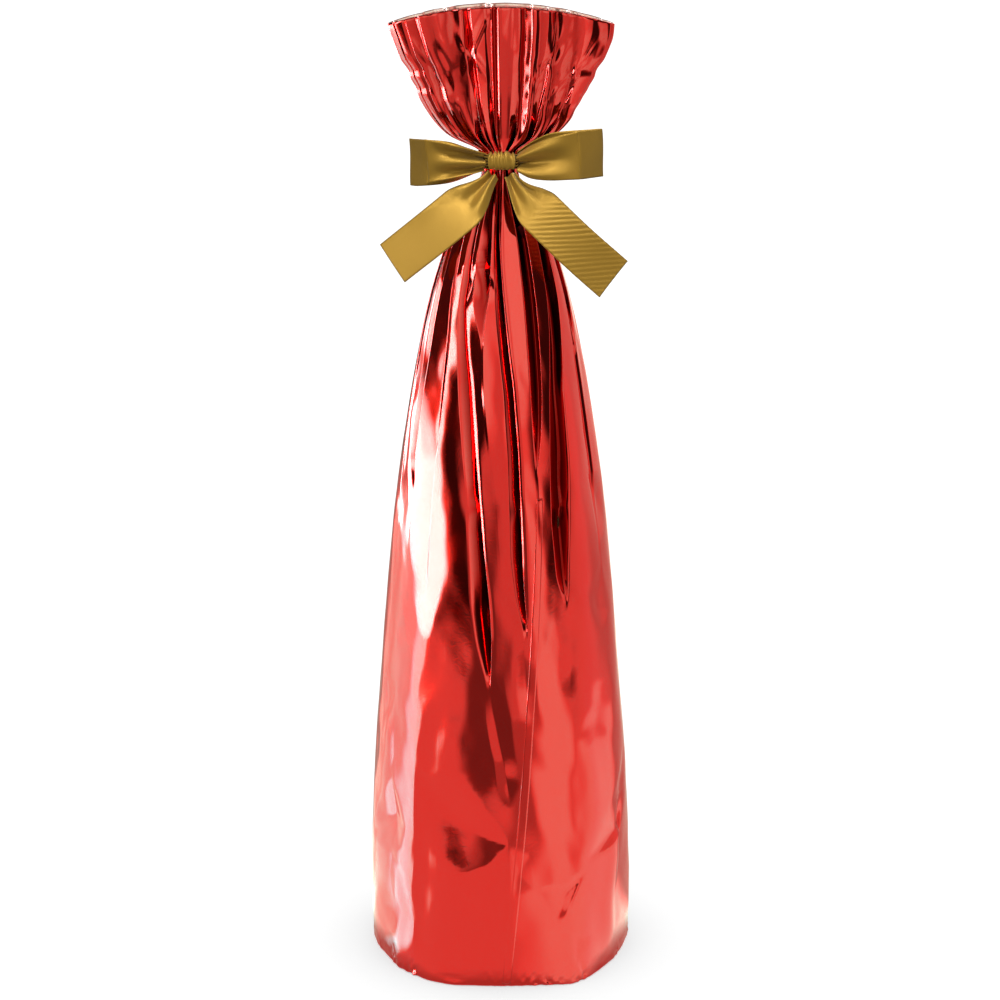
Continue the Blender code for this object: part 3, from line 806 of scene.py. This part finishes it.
# Each tail's centre line from under the knot, the direction of its half width at the free end, and how
# high the level ripples in its satin stand
TAILS = {
    "ribbon_tail_left": (
        ((-2.6, -12.6, 318.4), (-5.6, -15.0, 315.0), (-10.3, -18.0, 310.6), (-17, -20.0, 305.0),
         (-28.5, -20.4, 295.6), (-41, -18.6, 285.4)),
        (-0.60, 0.42, 0.68), 0.0,
    ),
    "ribbon_tail_right": (
        ((3.8, -12.6, 318.4), (6.6, -14.6, 313.9), (11.0, -17.6, 309.4), (17.2, -20.0, 303.6),
         (29, -20.8, 292.4), (43.2, -19.2, 279.4)),
        (0.70, 0.40, 0.59), 0.09,
    ),
}
RIPPLE_PITCH = 1.75
END_FOLDS = 1.6  # across a loop or tail where it goes into the knot
KNOT_GATHERS = 5.2
BAND_GATHERS = 5
# Points along each piece
LOOP_ROWS = 110
TAIL_ROWS = 200
KNOT_ROWS = 64
BAND_ROWS = 96


def smooth_curve(stations, count):
    """Evenly spread points on a Catmull-Rom curve through the stations."""
    points = np.array(stations, float)
    points = np.vstack([2 * points[0] - points[1], points, 2 * points[-1] - points[-2]])
    at = np.linspace(0, len(points) - 3, count)
    k = np.minimum(at.astype(int), len(points) - 4)
    t = (at - k)[:, None]
    a, b, c, d = (points[k + i] for i in range(4))
    return 0.5 * (2 * b + (c - a) * t + (2 * a - 5 * b + 4 * c - d) * t**2 + (3 * b - a - 3 * c + d) * t**3)


def lengths_along(points):
    steps = np.linalg.norm(np.diff(points, axis=0), axis=1)
    return np.concatenate([[0], np.cumsum(steps)])


def fold_height(width, folds):
    """How deep the folds of a gathered ribbon are where it is only this wide."""
    squeeze = np.maximum((RIBBON_WIDTH / width) ** 2 - 1, 0)
    return width / (math.tau * folds) * np.sqrt(2 * squeeze)


def make_ribbon(name, centre, half, relief, finish, body, closed=False):
    """A strip along centre (n, 3) with half widths (n, 3), raised by relief (n, RIBBON_COLUMNS)."""
    count = len(centre)
    if closed:
        along = np.roll(centre, -1, 0) - np.roll(centre, 1, 0)
    else:
        along = np.gradient(centre, axis=0)
    normal = np.cross(along, half)
    normal /= np.linalg.norm(normal, axis=1)[:, None]
    u = np.linspace(-1, 1, RIBBON_COLUMNS)
    points = centre[:, None] + half[:, None] * u[None, :, None] + normal[:, None] * relief[:, :, None]
    faces = []
    for i in range(count if closed else count - 1):
        k = (i + 1) % count
        for j in range(RIBBON_COLUMNS - 1):
            corners = (i, j), (i, j + 1), (k, j + 1), (k, j)
            faces.append([a * RIBBON_COLUMNS + b for a, b in corners])
    made = new_object(name, points.reshape(-1, 3) * MM, faces, [finish])
    travelled = lengths_along(centre)
    uv = made.data.uv_layers.new(name="cut")
    for polygon in made.data.polygons:
        for loop in polygon.loop_indices:
            row, column = divmod(made.data.loops[loop].vertex_index, RIBBON_COLUMNS)
            length = travelled[row]
            if closed and row == 0 and polygon.vertices[2] < RIBBON_COLUMNS:
                length = travelled[-1] + travelled[1]
            uv.data[loop].uv = (column / (RIBBON_COLUMNS - 1), length / RIBBON_WIDTH)
    wall = made.modifiers.new("thickness", "SOLIDIFY")
    wall.thickness = RIBBON_THICK * MM
    wall.offset = 0
    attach(made, body)
    return made


def frame_body(node):
    """The CAD body that a node belongs to."""
    bodies = frame["record"]["behaviour"]["bodies"]
    return next(body for body, members in bodies.items() if node in members)


def knot_centre():
    low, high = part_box("bow_knot")
    return np.array((low + high) / 2) / MM


def build_loops(finish):
    u = np.linspace(-1, 1, RIBBON_COLUMNS)
    share = np.linspace(0, 1, LOOP_ROWS)
    for name, (side, skew, stations) in LOOPS.items():
        out, behind, low, high = smooth_curve(stations, LOOP_ROWS).T
        width = high - low
        centre = knot_centre() + np.stack([side * out, behind, (low + high) / 2], 1)
        half = np.stack([skew * side * width / 8, np.zeros(LOOP_ROWS), width / 2], 1)
        folds = np.minimum(fold_height(width, END_FOLDS), 2.1) * (1 - smoothstep(out, 17, 30))
        bulge = 1.4 * np.sin(np.pi * np.clip(out / 30, 0, 1)) * np.where(share > 0.5, 1, 0.4)
        wave = folds[:, None] * np.cos(np.pi * END_FOLDS * (u + 1) + 0.5 + 1.3 * share[:, None])
        relief = wave + bulge[:, None] * (1 - u**2) * side
        relief = relief + 0.25 * smoothstep(out, 18, 30)[:, None] * np.sin(2.2 * u + 9 * share[:, None])
        made = make_ribbon(name + "_satin", centre, half, relief, finish, frame_body(name))
        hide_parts(name)


def build_tails(finish):
    u = np.linspace(-1, 1, RIBBON_COLUMNS)
    for name, (stations, out, ripple) in TAILS.items():
        centre = smooth_curve(stations, TAIL_ROWS)
        out = np.array(out)
        pinch = np.array([math.copysign(1, out[0]), 0, 0])
        length = lengths_along(centre)
        ease = smoothstep(length, 0, 19)[:, None]
        along = np.gradient(centre, axis=0)
        along /= np.linalg.norm(along, axis=1)[:, None]
        across = pinch + (out - pinch) * ease
        across -= along * (across * along).sum(1)[:, None]
        across /= np.linalg.norm(across, axis=1)[:, None]
        width = RIBBON_WIDTH * (0.27 + 0.73 * ease[:, 0])
        folds = np.minimum(fold_height(width, END_FOLDS), 1.2) * (1 - smoothstep(length, 8, 22))
        relief = folds[:, None] * np.cos(np.pi * END_FOLDS * (u + 1) + 0.06 * length[:, None])
        cupped = (0.3 if out[0] < 0 else 0.5) * smoothstep(length, 10, 40)
        relief = relief + cupped[:, None] * (u**2 - 0.4)
        relief = relief + 0.3 * np.sin(length[:, None] / 9 + 0.7 * u)
        half = across * width[:, None] / 2
        height = centre[:, 2:] + half[:, 2:] * u
        ripples = np.sin(math.tau * height / RIPPLE_PITCH + 0.5 * np.sin(height / 3.1 + 2 * u))
        relief = relief + ripple * smoothstep(length, 14, 26)[:, None] * ripples
        made = make_ribbon(name + "_satin", centre, half, relief, finish, frame_body(name))
        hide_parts(name)


def build_knot(finish):
    low, high = (np.array(c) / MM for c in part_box("bow_knot"))
    centre, size = (low + high) / 2, high - low
    turn = np.arange(KNOT_ROWS) * math.tau / KNOT_ROWS
    bend = np.stack([np.zeros(KNOT_ROWS), -np.cos(turn), np.sin(turn)], 1)
    bend = np.sign(bend) * np.abs(bend) ** 0.75  # a round with flatter sides
    ring = centre + bend * (size / 2 - 0.45)
    u = np.linspace(-1, 1, RIBBON_COLUMNS)
    uneven = u + 0.12 * np.sin(4.1 * u + 0.7) + 0.05 * np.sin(turn[:, None] + 3 * u)
    phase = np.pi * KNOT_GATHERS * (uneven + 1) + 0.8 * np.sin(turn[:, None] + 0.4)
    relief = 0.45 * np.cos(phase) * (1 - 0.5 * np.cos(turn[:, None] + 0.9)) - 0.3 * u**2
    half = np.tile([size[0] / 2 - 0.4, 0, 0], (KNOT_ROWS, 1))
    half[:, 0] -= 0.9 * np.sin(turn) ** 2
    made = make_ribbon("bow_knot_satin", ring, half, -relief, finish, "ribbon_tie", closed=True)
    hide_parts("bow_knot")


def build_band(finish):
    low, high = (np.array(c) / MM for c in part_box("ribbon_band"))
    turn = np.arange(BAND_ROWS) * math.tau / BAND_ROWS
    radius = high[0] - 0.85
    middle = (low[2] + high[2]) / 2
    ring = np.stack([radius * np.sin(turn), -radius * np.cos(turn), np.full(BAND_ROWS, middle)], 1)
    u = np.linspace(-1, 1, RIBBON_COLUMNS)
    relief = 0.62 * np.cos(np.pi * BAND_GATHERS * (u + 1) + 0.6 * np.sin(3 * turn[:, None]))
    half = np.tile([0, 0, (high[2] - low[2]) / 2 - 0.2], (BAND_ROWS, 1))
    band = "ribbon_band_satin"
    made = make_ribbon(band, ring, half, relief, finish, "ribbon_tie", closed=True)
    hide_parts("ribbon_band")


# ---- materials ----


def film_material():
    finish = bpy.data.materials.new("red_metallised_film")
    finish.use_nodes = True
    n = Nodes(finish.node_tree)
    hidden = n.add("ShaderNodeAttribute", attribute_name="hidden").outputs["Fac"]
    place = n.add("ShaderNodeTexCoord").outputs["Object"]
    cloud = n.add("ShaderNodeTexNoise", {"Vector": place, "Scale": 60.0, "Detail": 5.0}).outputs["Fac"]
    # painted shade: the red darkens where the film lies deep in a pleat or fold
    red, painted_shade_red = (0.66, 0.006, 0.002, 1), (0.2, 0.002, 0.001, 1)
    red_with_painted_shade = n.add("ShaderNodeMixRGB", {"Fac": hidden, "Color1": red, "Color2": painted_shade_red})
    noise = {"Vector": place, "Scale": 260.0, "Detail": 3.0, "Distortion": 1.5}
    crumple = n.add("ShaderNodeTexNoise", noise).outputs["Fac"]
    bump = n.add("ShaderNodeBump", {"Height": crumple, "Strength": 0.1, "Distance": 0.0002})
    given = {
        "Base Color": red_with_painted_shade.outputs[0], "Normal": bump.outputs[0],
        "Metallic": 1.0, "Specular Tint": (1, 0.05, 0.03, 1),
        "Roughness": n.smooth(cloud, 0.35, 0.7, 0.075, 0.13),
        # painted shade: less coat, so less white reflection, deep in the pleats and folds
        "Coat Weight": n.smooth(hidden, 0.0, 1.0, 0.75, 0.1), "Coat Roughness": 0.04, "Coat IOR": 1.55,
    }
    shader = n.add("ShaderNodeBsdfPrincipled", given)
    n.add("ShaderNodeOutputMaterial", {"Surface": shader.outputs[0]})
    return finish


def lining_material():
    finish = bpy.data.materials.new("film_silver_side")
    finish.use_nodes = True
    n = Nodes(finish.node_tree)
    given = {"Base Color": (0.78, 0.36, 0.34, 1), "Metallic": 1.0, "Roughness": 0.3}
    shader = n.add("ShaderNodeBsdfPrincipled", given)
    n.add("ShaderNodeOutputMaterial", {"Surface": shader.outputs[0]})
    return finish


def satin_material():
    finish = bpy.data.materials.new("gold_satin_ribbon")
    finish.use_nodes = True
    n = Nodes(finish.node_tree)
    uv = n.add("ShaderNodeUVMap", uv_map="cut").outputs[0]
    place = n.add("ShaderNodeSeparateXYZ", {0: uv}).outputs
    cloud = n.add("ShaderNodeTexNoise", {"Scale": 500.0, "Detail": 5.0}).outputs["Fac"]
    dark, light = (0.18, 0.097, 0.011, 1), (0.30, 0.17, 0.023, 1)
    colour = n.add("ShaderNodeMixRGB", {"Fac": cloud, "Color1": dark, "Color2": light})
    threads = n.math("SINE", n.math("MULTIPLY", place["Y"], math.tau * 75))
    warps = n.math("SINE", n.math("MULTIPLY", place["X"], math.tau * 60))
    weave = n.math("ADD", threads, n.math("MULTIPLY", warps, 0.5))
    bump = n.add("ShaderNodeBump", {"Height": weave, "Strength": 0.3, "Distance": 0.00006})
    given = {
        "Base Color": colour.outputs[0], "Normal": bump.outputs[0],
        "Metallic": 0.45, "Roughness": 0.4, "Anisotropic": 0.5,
        "Specular IOR Level": 0.5, "Specular Tint": (1, 0.8, 0.4, 1),
        "Sheen Weight": 0.15, "Sheen Roughness": 0.4, "Sheen Tint": (1, 0.85, 0.5, 1),
    }
    shader = n.add("ShaderNodeBsdfPrincipled", given)
    n.add("ShaderNodeOutputMaterial", {"Surface": shader.outputs[0]})
    return finish


def plain_material(name, colour, roughness, metallic, grain, grain_size, **settings):
    """A finish with a slightly uneven colour, gloss and surface."""
    finish = bpy.data.materials.new(name)
    finish.use_nodes = True
    n = Nodes(finish.node_tree)
    place = n.add("ShaderNodeTexCoord").outputs["Object"]
    noise = {"Vector": place, "Scale": 1 / grain_size, "Detail": 4.0}
    cloud = n.add("ShaderNodeTexNoise", noise).outputs["Fac"]
    dark = tuple(c * (1 - grain) for c in colour)
    mixed = n.add("ShaderNodeMixRGB", {"Fac": cloud, "Color1": (*dark, 1), "Color2": (*colour, 1)})
    bump = n.add("ShaderNodeBump", {"Height": cloud, "Strength": grain, "Distance": grain_size * 0.1})
    given = {
        "Base Color": mixed.outputs[0], "Metallic": metallic,
        "Roughness": n.smooth(cloud, 0.3, 0.7, roughness * 0.85, roughness * 1.15),
        "Normal": bump.outputs[0],
    }
    given.update(settings)
    shader = n.add("ShaderNodeBsdfPrincipled", given)
    n.add("ShaderNodeOutputMaterial", {"Surface": shader.outputs[0]})
    return finish


def finish_cad_nodes(film):
    """The bottle inside and the folded film under it keep their CAD shapes."""
    finishes = {
        "bottle_glass": plain_material("dark_green_glass", (0.02, 0.06, 0.025), 0.06, 0.0, 0.1, 0.02,
                                       **{"Transmission Weight": 0.85, "IOR": 1.52}),
        "wine_fill": plain_material("red_wine", (0.12, 0.005, 0.012), 0.04, 0.0, 0.05, 0.03,
                                    **{"Transmission Weight": 0.6, "IOR": 1.34}),
        "cork": plain_material("natural_cork", (0.5, 0.32, 0.17), 0.8, 0.0, 0.5, 0.0016),
        "capsule": plain_material("tin_capsule", (0.16, 0.012, 0.02), 0.32, 0.8, 0.12, 0.004),
        "base_disc": film,
    }
    for node, finish in finishes.items():
        materials = frame["nodes"][node].data.materials
        materials.clear()
        materials.append(finish)


add_camera()
build_world()
floor = build_floor()
screen = build_screen()
lights = build_lights()
bpy.context.scene.view_settings.view_transform = "Standard"
film = film_material()
bag = build_film(film, lining_material())
seam = build_lap_seam(bag, film)
satin = satin_material()
build_loops(satin)
build_tails(satin)
build_knot(satin)
build_band(satin)
finish_cad_nodes(film)

mirrors = [bag, seam]
others = [o for o in bpy.data.objects if o.type == "MESH" and o not in (bag, seam, screen, floor)]
light_only(screen, "mirroring_film", mirrors)
for light in lights:
    light_only(light, light.name + "_receivers", others)
build_overhead(floor)
